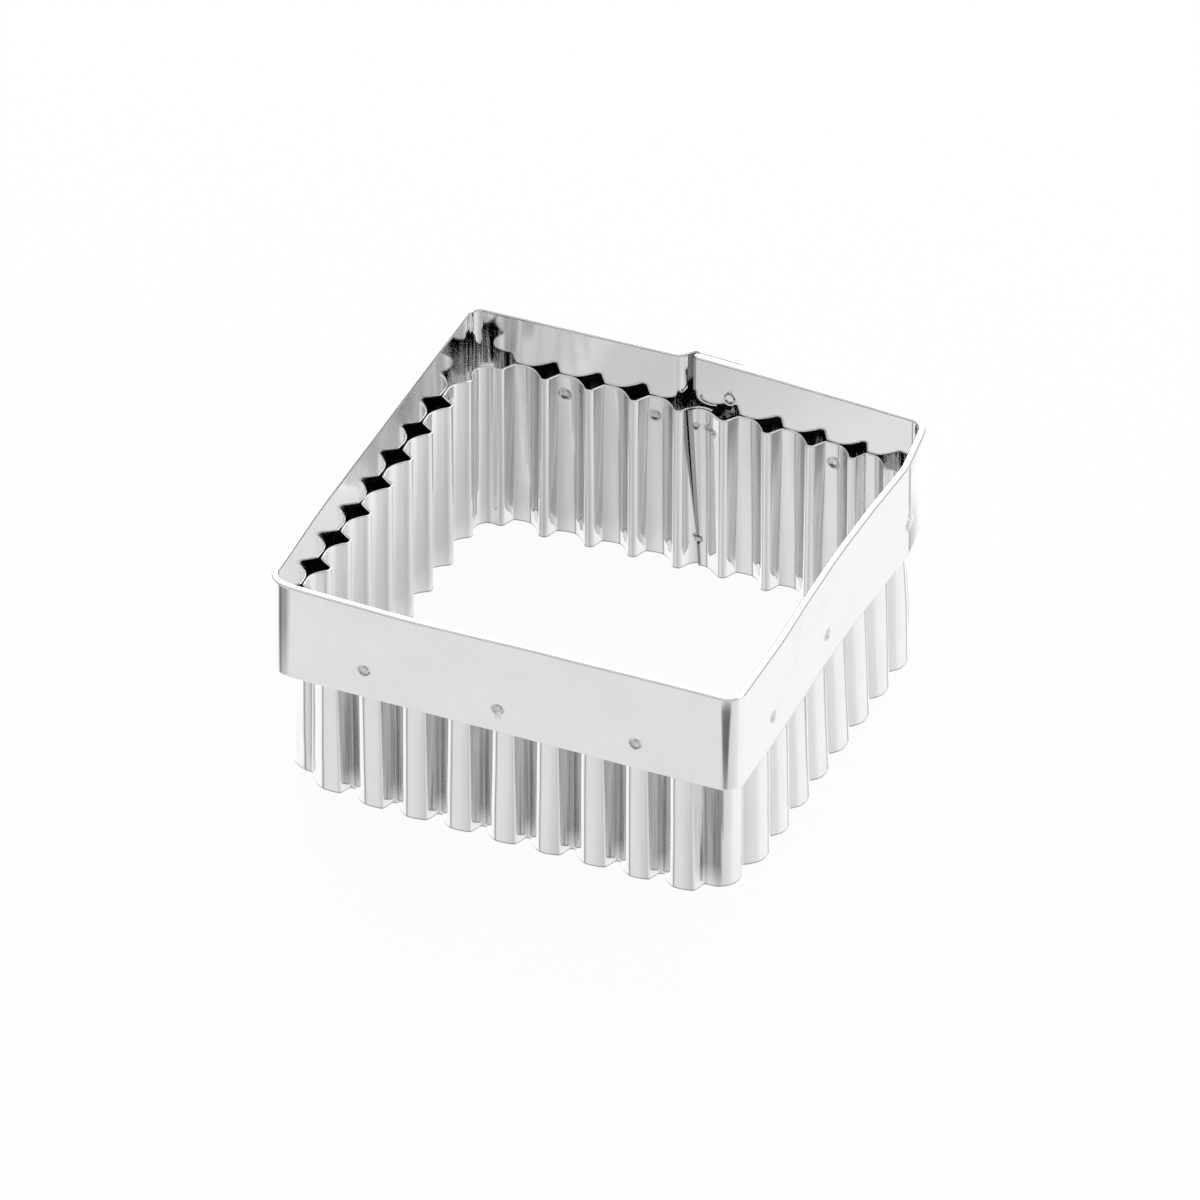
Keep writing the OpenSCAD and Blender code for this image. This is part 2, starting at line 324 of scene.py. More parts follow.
def band_line(band):
    """Fine points and outward sides of the band's middle line: corners joined by straights, each corner an arc.

    An arc's tangent points lie radius * tan(turn / 2) before and after its corner.
    """
    half = BAND_BOX[1][0] - band.sheet / 2
    seam, left_end, _, right = seam_frame(band)
    shift = (band.sheet + band.gap) * left_of(right)
    corners = np.array([
        seam, [half, half], [half, -half], [-half, -half], [-half, half],
        left_end,
        seam + shift - band.step_ease * right,
        seam + shift + band.overlap * right])
    radii = np.array([band.corner - band.sheet / 2] * 4 + [band.step_radius] * 2)
    heading = heading_of(np.diff(corners, axis=0))
    turns = wrapped(np.diff(heading))
    hands = np.where(turns < 0, 1.0, -1.0)
    into = unit(np.diff(corners, axis=0))[:-1]
    starts = corners[1:-1] - into * (radii * np.tan(np.abs(turns) / 2))[:, None]
    centres = starts - (hands * radii)[:, None] * side_of(heading[:-1])
    points, sides = arcs(centres, radii, hands, heading[:-1], turns, [CORNER_STEPS] * 6, 6)
    return (np.vstack([corners[:1], points, corners[-1:]]),
            np.vstack([side_of(heading[:1]), sides, side_of(heading[-1:])]))


def bend_centres(band, strip):
    """Centres of the tight bends, clockwise from the one right of the seam, in even rows along the four walls."""
    line = half_widths(band, strip)[2]
    tip = line - strip.bend - strip.sheet
    x = np.linspace(strip.run_wide - tip, tip - strip.run_wide, strip.flutes_wide + 1)
    y = np.linspace(strip.run_deep - tip, tip - strip.run_deep, strip.flutes_deep + 1) + strip.row_shift
    back = np.stack([x, line + bow(x, band)], axis=1)
    front = np.stack([x[::-1], np.full(len(x), -line)], axis=1)
    right = np.stack([np.full(len(y), line), y[::-1]], axis=1)
    left = np.stack([np.full(len(y), -line), y], axis=1)
    split = (strip.flutes_wide + 1) // 2
    return np.vstack([back[split:], right, front, left, back[:split]])


def corner_flutes(strip):
    """Numbers of the four flutes that lie on the corners."""
    first = (strip.flutes_wide + 1) // 2 - 1
    return first + np.cumsum([0, strip.flutes_deep + 1, strip.flutes_wide + 1, strip.flutes_deep + 1])


def welded_flutes(strip):
    """Numbers of the flutes that are welded to the band: two or three on each wall."""
    corner = corner_flutes(strip)
    wide, deep = strip.flutes_wide, strip.flutes_deep
    along_deep = np.array([0, deep // 2, deep - 1]) + 1
    along_wide = np.array([1, (wide - 1) // 2, wide - 2]) + 1
    return np.concatenate([
        [corner[0] - 2], corner[0] + along_deep, corner[1] + along_wide, corner[2] + along_deep,
        corner[3] + 1 + np.array([1, (wide - 1) // 2 - 1])])


def flute_arcs(band, strip, shift, deeper=0.0):
    """Bend centres, flute centres and flute middle radii.

    Between two bends a chord apart, a flute that touches both and stands rise above their line has the radius
    (chord^2 / 4 + rise^2 - bend^2) / (2 * (rise + bend)). A corner flute's radius follows from how far round it goes.
    """
    bend = strip.bend + strip.sheet / 2
    bends = bend_centres(band, strip) + shift
    chord = np.roll(bends, -1, axis=0) - bends
    length = np.linalg.norm(chord, axis=1)
    rise = strip.depth + deeper - strip.sheet - bend
    radii = (length ** 2 / 4 + rise ** 2 - bend ** 2) / (2 * (rise + bend))
    corner = corner_flutes(strip)
    radii[corner] = length[corner] / 2 / math.sin(strip.corner_turn / 2) - bend
    inward = -left_of(chord) / length[:, None]
    depth = np.sqrt(np.maximum((radii + bend) ** 2 - length ** 2 / 4, 0))
    return bends, bends + chord / 2 + depth[:, None] * inward, radii


def shouldered(radii, starts, turns, centres, shoulder):
    """Points of the flutes whose leading side has a flat top, a sharp shoulder and a straight flank.

    At a share u of the flute's length the heading is start + turn * h(u), and the table lists h: a straight flank, the
    shoulder, a top that turns slowly, and a trailing side that steepens evenly. The points are the running sum of the
    headings. It is stretched to the flute's width, and each side to the height of the plain arc, radius * (1 - cos).
    """
    share_along, share_turned = np.transpose(((0, 0), (0.03, 0.06)) + shoulder + FLUTE_TRAIL)
    bend, flat, crest = shoulder[0][0], shoulder[1][0], FLUTE_TRAIL[0][0]
    lead = np.concatenate([
        np.linspace(0, bend - 0.008, 5), np.linspace(bend + 0.001, flat + 0.006, 7),
        np.linspace(flat + 0.03, crest, 7)])
    u = np.concatenate([lead, np.linspace(crest, 1, FLUTE_STEPS + 2 - len(lead))[1:]])
    heading = starts[:, None] + turns[:, None] * np.interp(u, share_along, share_turned)[None]
    middle = (heading[:, 1:] + heading[:, :-1]) / 2
    first = centres + radii[:, None] * side_of(starts)
    across = centres + radii[:, None] * side_of(starts + turns) - first
    forward = unit(across)
    outward = left_of(forward)
    turned = middle - heading_of(forward)[:, None]
    ahead, up = np.diff(u) * np.cos(turned), np.diff(u) * np.sin(turned)
    ahead *= (np.linalg.norm(across, axis=1) / ahead.sum(1))[:, None]
    height = radii * (1 - np.cos(turns / 2))
    rising = np.arange(FLUTE_STEPS) < len(lead) - 1
    up *= np.where(rising, height[:, None] / (up * rising).sum(1, keepdims=True),
                   -height[:, None] / (up * ~rising).sum(1, keepdims=True))
    forth = np.cumsum(ahead, 1)[..., None] * forward[:, None]
    return first[:, None] + forth + np.cumsum(up, 1)[..., None] * outward[:, None]


def woven(first, bends, flutes):
    """One array: the seam's inner layer first, and then each bend and the flute after it in turn."""
    rows = np.zeros((2 * len(flutes) + 1, *flutes.shape[1:]), flutes.dtype)
    rows[0], rows[1::2], rows[2::2] = first, bends, flutes
    return rows


def strip_line(band, strip, shift, lap, shoulder, deeper=0.0):
    """Points and outward sides of the strip's middle line: a chain of flutes and tight bends that touch each other.

    The inner layer of the seam starts lap past the crest, and runs inside the seam flute.
    """
    bend = strip.bend + strip.sheet / 2
    bends, flutes, radii = flute_arcs(band, strip, shift, deeper)
    count = len(bends)
    inner = radii[-1] - strip.sheet - strip.lap_gap
    to_first = bends[0] - flutes[-1]
    leave_seam = heading_of(to_first) + math.acos((inner + bend) / np.linalg.norm(to_first)) - np.pi / 2
    into = heading_of(bends - np.roll(flutes, 1, axis=0)) - np.pi / 2
    into[0] = leave_seam
    out = heading_of(bends - flutes) - np.pi / 2
    end = np.roll(into, -1)
    centres = woven(flutes[-1], bends, flutes)
    radius = woven(inner, bend, radii)
    hands = woven(1, -1, np.ones(count))
    starts = woven(lap, into, out)
    turns = woven(wrapped(leave_seam - lap), wrapped(out - into), wrapped(end - out))
    turns[-1] += strip.lap_short
    steps = woven(FLUTE_STEPS, BEND_STEPS, np.full(count, FLUTE_STEPS))
    points, sides = arcs(centres, radius, hands, starts, turns, steps, 1)
    plain = np.setdiff1d(np.arange(count - 1), corner_flutes(strip))
    arc = 2 + 2 * plain
    lines = shouldered(radius[arc], starts[arc], turns[arc], centres[arc], shoulder)
    ends = np.cumsum(steps) + 1
    ends[1:] += 1
    places = ends[arc][:, None] - 1 - np.arange(FLUTE_STEPS)[None, ::-1]
    points[places] = lines
    sides[places] = unit(left_of(np.gradient(points, axis=0)))[places]
    return np.vstack([points, points[-1] - strip.lap_tail * left_of(sides[-1])]), np.vstack([sides, sides[-1]])


def footprint_shift():
    """How far the middle of the footprint lies behind the middle of the square."""
    return -BAND_BOX[0][1] - BAND_BOX[1][0]


def swell(t, middle, reach):
    """The square of a cosine over t: 1 at the middle, and 0 from reach on to both sides."""
    return np.cos(np.clip((t - middle) / reach, -1, 1) * np.pi / 2) ** 2


def turned_off(t, start, length, slope):
    """How far a line strays that turns off at start: a parabola over length, and then straight at the slope."""
    past = np.clip(t - start, 0, length)
    return slope * (past ** 2 / (2 * length) + np.maximum(t - start - length, 0))


def settled(points, band):
    """The points as the steel has sprung: leaning sides, two wide corners and an uneven front edge.

    The right side leans in by a swell between its corners, and the left side by one at its front corner. The front
    wall turns off before the left corner, and the right wall before the back corner. All this fades out towards the
    foot. The front's top edge dips by a swell over its left half, and leans back over its right end.
    """
    x, y, z = points[..., 0], points[..., 1] + footprint_shift(), points[..., 2]
    gripped = np.clip(z / BAND_BOX[0][2], 0, 1)
    middle, before, behind = RIGHT_LEAN
    lean_right = band.lean * swell(y, middle, np.where(y < middle, before, behind))
    lean_right = lean_right + band.wide_back * turned_off(y, *BACK_TURN) * gripped
    lean_left = band.lean_left * swell(y, *LEFT_LEAN)
    on_left, on_right = smooth((-0.020 - x) / 0.009), smooth((x - 0.020) / 0.009)
    across = (lean_left * on_left - lean_right * on_right) * gripped
    in_front = smooth((-0.018 - y) / 0.008)
    turned = band.wide_front * turned_off(-x, *FRONT_TURN) * in_front * gripped
    up_band = np.clip((z - BAND_BOX[0][2]) / (BAND_BOX[1][2] - BAND_BOX[0][2]), 0, 1)
    front_edge = smooth((-0.029 - y) / 0.002) * up_band
    dip = TOP_DIP[2] * front_edge * swell(x, *TOP_DIP[:2])
    back = TOP_BACK * front_edge * smooth((x - 0.006) / 0.020)
    return np.stack([x + across, points[..., 1] + back + turned, z - dip], axis=-1)


# ---------------------------------------------------------------- grids

def spaced(low, high, places, coarse, fine, reach):
    """Numbers from low to high that lie coarse apart, and fine apart within reach of each place.

    The density is 1 / coarse plus a flat-topped bell round each place, and equal steps of its running sum are taken.
    """
    t = np.linspace(low, high, 6000)
    near = np.zeros_like(t)
    for place in places:
        near = np.maximum(near, np.exp(-((t - place) / reach) ** 4))
    density = (1 - near) / coarse + near / fine
    total = np.concatenate([[0], np.cumsum((density[1:] + density[:-1]) / 2 * np.diff(t))])
    steps = int(math.ceil(total[-1]))
    return np.interp(np.linspace(0, total[-1], steps + 1), total, t)


def lengths(line):
    """The length walked along a line at each of its points."""
    return np.concatenate([[0], np.cumsum(np.linalg.norm(np.diff(line, axis=0), axis=1))])


def sampled(t, walked, line):
    """The line's parts at the walked lengths t."""
    return np.stack([np.interp(t, walked, part) for part in line.T], axis=1)


def apart(numbers, least):
    """The numbers in order, without those that lie less than a least distance past the one before."""
    row = np.unique(numbers)
    return row[np.concatenate([[True], np.diff(row) > least])]


def section(low, high, sheet, edge, rows, round_steps=3):
    """A closed section across a sheet, as heights and offsets from its middle: up the outside and down the inside.

    Each cut edge is rounded by quarter circles. rows are heights from low to high for the flat faces, and one more
    row close to each edge keeps its shading narrow.
    """
    rows = np.concatenate([[low, low + EDGE_ROW], rows[1:-1], [high - EDGE_ROW, high]])
    flat = low + edge + (rows - rows[0]) / (rows[-1] - rows[0]) * (high - low - 2 * edge)
    a = np.linspace(0, np.pi / 2, round_steps + 1)[1:]
    top_z = high - edge + edge * np.sin(a)
    top_o = sheet / 2 - edge + edge * np.cos(a)
    foot_z = low + edge - edge * np.sin(a)
    heights = np.concatenate([foot_z[::-1], flat, top_z, top_z[::-1], flat[::-1], foot_z])
    half = np.full(len(flat), sheet / 2)
    offsets = np.concatenate([top_o[::-1], half, top_o, -top_o[::-1], -half, -top_o])
    return heights, offsets


def raised(level, z):
    """A grid of level points with the height z of each row."""
    return np.dstack([level, np.broadcast_to(z[:, None], level.shape[:2])])


def ripple(seed, along, up, waves, size, length_along, length_up):
    """A smooth uneven surface: the mean of seeded sine waves over two directions, scaled to size."""
    rng = np.random.default_rng(seed)
    total = np.zeros(np.broadcast(along, up).shape)
    for _ in range(waves):
        k = rng.normal(0, 1, 2) * [2 * np.pi / length_along, 2 * np.pi / length_up]
        total = total + np.sin(k[0] * along + k[1] * up + rng.uniform(0, 2 * np.pi))
    return size * total / math.sqrt(waves / 2)


def dish(r, weld, size):
    """How far a face is pressed in at a distance r from a weld: a flat floor, a smooth wall and a low raised rim.

    The wall takes the outer 0.42 of the dish's radius. The rim is a bell whose top lies 0.08 of the radius past it.
    """
    share_out = r / size / weld.dish
    rim = np.exp(-((share_out - 1.08) / 0.16) ** 2)
    return weld.press * (smooth((1 - share_out) / 0.42) - 0.16 * rim)


def pressed(points, shade_and_burn, face, centres, outward, weld, sizes=1.0):
    """The points of one face, pressed along each weld's axis by dish(r), r being the distance from it, and its painted
    shade with the burnt rings added.

    A dark ring of burnt metal, a bell over r, lies on the dish's wall.
    """
    for centre, side, size in zip(centres, outward, np.resize(sizes, len(centres))):
        out = np.array([*side, 0.0])
        rel = points - centre
        along = rel @ out
        r = np.linalg.norm(rel - along[..., None] * out, axis=-1)
        near = (np.abs(along) < PRESS_REACH) * face
        burnt = weld.burn * np.exp(-((r / size - weld.dish * 0.8) / (weld.dish * 0.17)) ** 2) * near
        points = points - (dish(r, weld, size) * near)[..., None] * out
        shade_and_burn = np.maximum(shade_and_burn, burnt)
    return points, shade_and_burn


def closed_sheet(name, points, walked, z, offset, material, shade_and_burn):
    """An object from a grid of points, whose rows go round the section and whose columns go along the sheet.

    Both ends are closed by quads between the outer and the inner face. The length walked, the height and the face are
    kept as the attribute PLACE, and shade_and_burn, the painted shade and the burnt rings as a number from 0 to 1 for
    each point, as the attribute SHADE_AND_BURN.
    """
    place = np.dstack(np.broadcast_arrays(walked[None], z[:, None], np.sign(offset)[:, None] * FACES_APART))
    rows, columns = points.shape[:2]
    index = np.arange(rows * columns).reshape(rows, columns)
    above = np.roll(index, -1, axis=0)
    walls = np.stack([index[:, :-1], above[:, :-1], above[:, 1:], index[:, 1:]], axis=-1).reshape(-1, 4)
    half = rows // 2
    outer, inner = index[:half], index[:half - 1:-1]
    start = np.stack([outer[:-1, 0], inner[:-1, 0], inner[1:, 0], outer[1:, 0]], axis=-1)
    end = np.stack([outer[:-1, -1], outer[1:, -1], inner[1:, -1], inner[:-1, -1]], axis=-1)
    faces = np.vstack([walls, start, end])
    piece = mesh_object(name, points.reshape(-1, 3), faces, material, place.reshape(-1, 3))
    layer = piece.data.attributes.new(SHADE_AND_BURN, "FLOAT", "POINT")
    layer.data.foreach_set("value", np.ascontiguousarray(shade_and_burn, dtype=np.float32).ravel())
    return piece


def mesh_object(name, points, faces, material, place=None):
    """An object at the origin with these points and faces, which are all quads or all triangles."""
    mesh = bpy.data.meshes.new(name)
    corners = faces.shape[1]
    mesh.vertices.add(len(points))
    mesh.vertices.foreach_set("co", np.ascontiguousarray(points, dtype=np.float32).ravel())
    mesh.loops.add(faces.size)
    mesh.loops.foreach_set("vertex_index", faces.astype(np.int32).ravel())
    mesh.polygons.add(len(faces))
    mesh.polygons.foreach_set("loop_start", np.arange(0, faces.size, corners, dtype=np.int32))
    mesh.polygons.foreach_set("use_smooth", np.ones(len(faces), dtype=bool))
    if place is not None:
        layer = mesh.attributes.new(PLACE, "FLOAT_VECTOR", "POINT")
        layer.data.foreach_set("vector", np.ascontiguousarray(place, dtype=np.float32).ravel())
    mesh.update(calc_edges=True)
    mesh.validate()
    mesh.set_sharp_from_angle(angle=SHARP)
    mesh.materials.append(material)
    piece = bpy.data.objects.new(name, mesh)
    bpy.context.scene.collection.objects.link(piece)
    return piece


# ---------------------------------------------------------------- shaders

class Wire:
    """A shader socket that takes Python's arithmetic. Each operation on values adds one Math node."""

    def __init__(self, paint, socket):
        self.paint = paint
        self.socket = socket

    def math(self, operation, *others):
        return self.paint.math(operation, self, *others)

    def __add__(self, other):
        return self.math("ADD", other)

    __radd__ = __add__

    def __sub__(self, other):
        return self.math("SUBTRACT", other)

    def __rsub__(self, other):
        return self.paint.math("SUBTRACT", other, self)

    def __mul__(self, other):
        return self.math("MULTIPLY", other)

    __rmul__ = __mul__


class Outputs:
    """The outputs of a node, by name or number, as wires."""

    def __init__(self, paint, node):
        self.paint = paint
        self.node = node

    def __getitem__(self, key):
        return Wire(self.paint, self.node.outputs[key])


class Paint:
    """A node tree that is filled node by node."""

    def __init__(self, owner):
        owner.use_nodes = True
        self.owner = owner
        self.tree = owner.node_tree
        self.tree.nodes.clear()

    def node(self, kind, settings=None, sockets=None):
        """Adds a node: its settings first, then the values or links of its sockets."""
        made = self.tree.nodes.new(kind)
        for key, value in (settings or {}).items():
            if key == "stops":
                for number, (position, grey) in enumerate(value):
                    row = made.color_ramp.elements
                    stop = row[number] if number < 2 else row.new(position)
                    stop.position, stop.color = position, (grey, grey, grey, 1)
            else:
                setattr(made, key, value)
        for key, value in (sockets or {}).items():
            if isinstance(value, Wire):
                self.tree.links.new(value.socket, made.inputs[key])
            else:
                made.inputs[key].default_value = value
        return Outputs(self, made)

    def math(self, operation, *values):
        """One Math node on wires and numbers."""
        return self.node("ShaderNodeMath", {"operation": operation}, dict(enumerate(values)))[0]

    def noise(self, vector, scale, detail, roughness):
        """A smooth noise value from 0 to 1 over a vector."""
        return self.node(
            "ShaderNodeTexNoise", {"noise_dimensions": "3D"},
            {"Vector": vector, "Scale": scale, "Detail": detail, "Roughness": roughness})[0]

    def stretched(self, vector, scale):
        """A vector whose parts are multiplied by the parts of scale."""
        return self.node("ShaderNodeVectorMath", {"operation": "MULTIPLY"}, {0: vector, 1: scale})[0]

    def ramp(self, value, low, high):
        """A value brought from low..high to 0..1."""
        return self.node("ShaderNodeMapRange", {"clamp": True}, {"Value": value, "From Min": low, "From Max": high})[0]

    def blend(self, factor, a, b):
        """Two colours mixed by a factor."""
        return self.node("ShaderNodeMix", {"data_type": "RGBA"}, {0: factor, 6: a, 7: b})[2]

    def metal(self, base, rough, height, strength, bump):
        """Ends the tree with bare metal and gives the material. Its relief follows height and is bump deep."""
        relief = self.node("ShaderNodeBump", None, {"Strength": strength, "Distance": bump, "Height": height})[0]
        shader = self.node("ShaderNodeBsdfPrincipled", None, {
            "Base Color": base, "Metallic": 1.0, "Roughness": rough, "Normal": relief})
        self.node("ShaderNodeOutputMaterial", None, {"Surface": shader[0]})
        return self.owner


def shade(rgb, factor=1.0):
    """A colour made lighter or darker, with its alpha."""
    return tuple(min(1.0, part * factor) for part in rgb) + (1.0,)


def steel(name, rgb, roughness, lines, bump):
    """Bright steel: fine lines up the sheet, faint smudges, hairlines and small uneven patches, with painted shade on
    some faces, along the foot and at the sheet's first end, and the burnt rings of the welds.

    lines says how strong the drawn lines are, and bump how deep the relief is, in metres.
    """
    paint = Paint(bpy.data.materials.new(name))
    place = paint.node("ShaderNodeAttribute", {"attribute_name": PLACE})["Vector"]
    spot = paint.node("ShaderNodeTexCoord")["Object"]
    drawn = paint.noise(paint.stretched(place, (5200.0, 70.0, 900.0)), 1.0, 3.0, 0.6)
    broad = paint.noise(paint.stretched(place, (900.0, 45.0, 900.0)), 1.0, 2.0, 0.55)
    smudge = paint.ramp(paint.noise(spot, 130.0, 4.0, 0.6), 0.42, 0.72)
    speck = paint.ramp(paint.noise(spot, 2600.0, 2.0, 0.5), 0.68, 0.76)
    part = paint.node("ShaderNodeSeparateXYZ", None, {0: place})
    # Painted shade: a darker line along the foot's cut edge and at the sheet's first end
    painted_edge_shade = paint.ramp(part[1], 0.0003, 0.00012).math("MAXIMUM", paint.ramp(part[0], 0.00042, 0.0003))
    hair = paint.noise(paint.stretched(place, (420.0, 2600.0, 700.0)), 1.0, 1.0, 0.4)
    hair = paint.ramp((hair - 0.5).math("ABSOLUTE"), 0.006, 0.0)
    patch = paint.ramp(paint.noise(spot, 90.0, 2.0, 0.5), 0.5, 0.62)
    tone = paint.ramp(drawn, 0.35, 0.7) * lines + smudge * 0.35
    base = paint.blend(tone, shade(rgb), shade(rgb, 0.9))
    shade_and_burn = paint.node("ShaderNodeAttribute", {"attribute_name": SHADE_AND_BURN})["Fac"]
    # Painted shade, with faint drawn streaks, and the welds' burnt rings darken the steel
    shade_and_burn_mark = shade_and_burn * (0.7 + paint.ramp(drawn, 0.45, 0.65) * 0.3)
    base = paint.blend(shade_and_burn_mark, base, shade(rgb, 0.3))
    base = paint.blend(painted_edge_shade, base, shade(rgb, 0.42))
    rough = roughness + smudge * 0.05 + drawn * lines * 0.06 + speck * 0.1
    height = (drawn - 0.5) * lines + (broad - 0.5) * lines * 1.5 + hair * patch * -0.4 - speck * 0.3
    return paint.metal(base, rough, height, 0.5, bump)


def weld_steel(name, rgb, roughness):
    """Dull steel of the nuggets, with a mottled, slightly burnt face."""
    paint = Paint(bpy.data.materials.new(name))
    spot = paint.node("ShaderNodeTexCoord")["Object"]
    mottle = paint.noise(spot, 2400.0, 3.0, 0.6)
    burnt = paint.ramp(mottle, 0.45, 0.75)
    base = paint.blend(burnt, shade(rgb), shade(rgb, 0.7))
    return paint.metal(base, roughness + burnt * 0.15, mottle, 0.4, 0.00002)


# ---------------------------------------------------------------- welds

def side_weld_axes(settings):
    """For each welded flute: its inner end and its outer end at weld height, and the outward direction of its wall.

    The inner end lies on the flute's inner face, and the outer end on the band's outer face, both along the wall's
    outward direction through the flute's centre.
    """
    band, strip, weld = settings.band, settings.strip, settings.weld
    half = half_widths(band, strip)[0]
    seam, left_end, left, right = seam_frame(band)
    corner = corner_flutes(strip)
    chosen = welded_flutes(strip)
    _, flutes, radii = flute_arcs(band, strip, 0)
    walls = np.array([left_of(right), [1, 0], [0, -1], [-1, 0], left_of(left)])
    outward = walls[np.searchsorted(corner, chosen)]
    centres = flutes[chosen]
    along = (centres * outward).sum(1)
    wall_distance = np.where(
        chosen < corner[0], outward @ seam - along,
        np.where(chosen > corner[3], outward @ left_end - along, half - along))
    inner = centres + (radii[chosen] - strip.sheet / 2)[:, None] * outward
    outer = centres + (wall_distance + band.sheet / 2)[:, None] * outward
    stray = np.resize(WELD_STRAYS, (len(chosen), 2))
    z = STRIP_BOX[1][2] - weld.inset - stray[:, 1:]
    along = stray[:, :1] * left_of(outward) - [0, footprint_shift()]
    return np.hstack([inner + along, z]), np.hstack([outer + along, z]), outward


def band_seam_axes(settings):
    """The same for the two welds through both layers of the band."""
    band, weld = settings.band, settings.weld
    seam, _, _, right = seam_frame(band)
    out = left_of(right)
    place = seam + (band.overlap - weld.band_margin) * right - [0, footprint_shift()]
    z = BAND_BOX[1][2] - weld.band_inset - np.array([[0.0], [weld.band_spacing]])
    inner = np.hstack([np.tile(place - band.sheet / 2 * out, (2, 1)), z])
    outer = np.hstack([np.tile(place + (band.sheet * 1.5 + band.gap) * out, (2, 1)), z])
    return inner, outer, np.tile(out, (2, 1))


def strip_seam_axes(settings):
    """The same for the three welds through both layers of the strip, each at a heading on the seam flute."""
    band, strip, weld = settings.band, settings.strip, settings.weld
    _, flutes, radii = flute_arcs(band, strip, 0)
    out = side_of(SEAM_HEADINGS)
    high = STRIP_BOX[1][2] - weld.inset
    z = np.array([[high], [high], [weld.lap_low]])
    centre = flutes[-1] - [0, footprint_shift()]
    inner_mid = radii[-1] - strip.sheet - strip.lap_gap
    return (np.hstack([centre + (inner_mid - strip.sheet / 2) * out, z]),
            np.hstack([centre + (radii[-1] + strip.sheet / 2) * out, z]), out)


def nuggets(name, inner, outer, radius, sunk, proud, band, material):
    """Buttons of revolution along the welds' axes: a rounded cap on each face and a straight wall between.

    At a share v of half a turn the section's radius is radius * sin(v)^0.4 and its place along the axis goes with
    -cos(v), so both caps are nearly flat and end in a pole. Each cap stands proud of the floor of its dish, which is
    sunk below the face.
    """
    turns, rings = 28, 17
    v = np.linspace(0, np.pi, rings)[1:-1]
    around = np.arange(turns) * 2 * np.pi / turns
    r = radius * np.sin(v) ** 0.4
    axis = unit(outer - inner)
    length = np.linalg.norm(outer - inner, axis=1) - 2 * (sunk - proud)
    start = inner + axis * (sunk - proud)
    level = np.cross(axis, [0, 0, 1])
    circle = np.cos(around)[:, None, None] * level + np.sin(around)[:, None, None] * np.array([0, 0, 1])
    lift = 0.1 * radius * (1 - np.abs(np.cos(v)))
    z = np.where(v < np.pi / 2, lift, length[:, None] - lift)
    points = (start[:, None, None] + axis[:, None, None] * z[:, :, None, None]
              + r[None, :, None, None] * circle.transpose(1, 0, 2)[:, None])
    count, rows = len(inner), len(v)
    index = np.arange(rows * turns).reshape(rows, turns)
    ahead = np.roll(index, -1, axis=1)
    quads = np.stack([index[:-1], ahead[:-1], ahead[1:], index[1:]], axis=-1).reshape(-1, 4)
    tris = np.vstack([quads[:, [0, 1, 2]], quads[:, [0, 2, 3]]])
    low, high = rows * turns, rows * turns + 1
    first = np.stack([np.full(turns, low), ahead[0], index[0]], axis=-1)
    last = np.stack([np.full(turns, high), index[-1], ahead[-1]], axis=-1)
    faces = np.vstack([tris, first, last])
    poles = np.stack([start, start + axis * length[:, None]], axis=1)
    each = np.concatenate([points.reshape(count, -1, 3), poles], axis=1)
    every = (faces[None] + (np.arange(count) * each.shape[1])[:, None, None]).reshape(-1, 3)
    return mesh_object(name, settled(each.reshape(-1, 3), band), every, material)


# ---------------------------------------------------------------- operators

def finish_piece(piece, slot, *nodes):
    """Rides the piece on the body and lets it stand for its CAD nodes, which it hides. The slot is not used."""
    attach(piece, BODY)
    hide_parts(*nodes)


